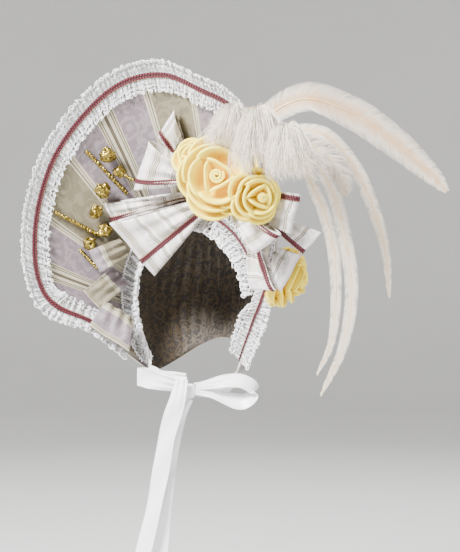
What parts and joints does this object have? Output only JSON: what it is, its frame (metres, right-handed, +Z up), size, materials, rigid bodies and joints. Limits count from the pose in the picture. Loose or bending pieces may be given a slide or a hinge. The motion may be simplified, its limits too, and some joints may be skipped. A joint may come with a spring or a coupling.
{
  "type": "lolita bonnet",
  "caption": "Wide damask bonnet with lace and braid edges, a soft hollow crown, folded bow loops, foam roses and plumes, held on by satin ribbons tied under the chin.",
  "frame": {"origin": "where the top of the wearer's head meets the inside of the crown", "axes": "+Z up, -Y out of the face opening, +X toward the wearer's left"},
  "size_m": [0.5596, 0.2875, 0.6929],
  "materials": {
    "damask": "striped damask, ivory, lavender grey and cream with olive lines",
    "lace": "gathered cotton lace",
    "rose_braid": "matt gimp braid with a pale line",
    "yellow_foam": "matt foam petals",
    "gold": "metallised gold foil ribbon and sequins",
    "feather": "cream cock feathers and ostrich fluff, peach toward the quill",
    "satin": "white satin ribbon"
  },
  "bodies": {
    "root": {"brim": "damask", "crown": "damask", "bow_loop_1": "damask", "bow_loop_2": "damask", "bow_loop_3": "damask", "bow_loop_4": "damask", "bow_loop_5": "damask", "bow_loop_6": "damask", "bow_loop_7": "damask", "bow_loop_8": "damask", "bow_loop_9": "damask", "pleat_1": "damask", "pleat_2": "damask", "pleat_3": "damask", "edge_lace": "lace", "face_lace": "lace", "edge_braid": "rose_braid", "face_braid": "rose_braid", "bow_braid_1": "rose_braid", "bow_braid_2": "rose_braid", "bow_braid_3": "rose_braid", "bow_braid_5": "rose_braid", "bow_braid_6": "rose_braid", "bow_braid_7": "rose_braid", "bow_braid_8": "rose_braid", "bow_braid_9": "rose_braid", "rose_large": "yellow_foam", "rose_medium": "yellow_foam", "rose_small": "yellow_foam", "rose_side": "yellow_foam", "gold_braid_1": "gold", "gold_braid_2": "gold", "gold_knot_1": "gold", "gold_knot_2": "gold", "gold_knot_3": "gold", "gold_knot_4": "gold", "gold_knot_5": "gold", "gold_knot_6": "gold", "gold_cord": "gold", "gold_chain": "gold", "plume_1": "feather", "plume_2": "feather", "plume_3": "feather", "plume_4": "feather", "plume_5": "feather", "tuft_1": "feather", "tuft_2": "feather", "tuft_3": "feather", "tie_left": "satin", "tie_right": "satin", "tie_knot": "satin", "tie_loop_left": "satin", "tie_loop_right": "satin", "tie_tail_1": "satin", "tie_tail_2": "satin"}
  },
  "joints": []
}
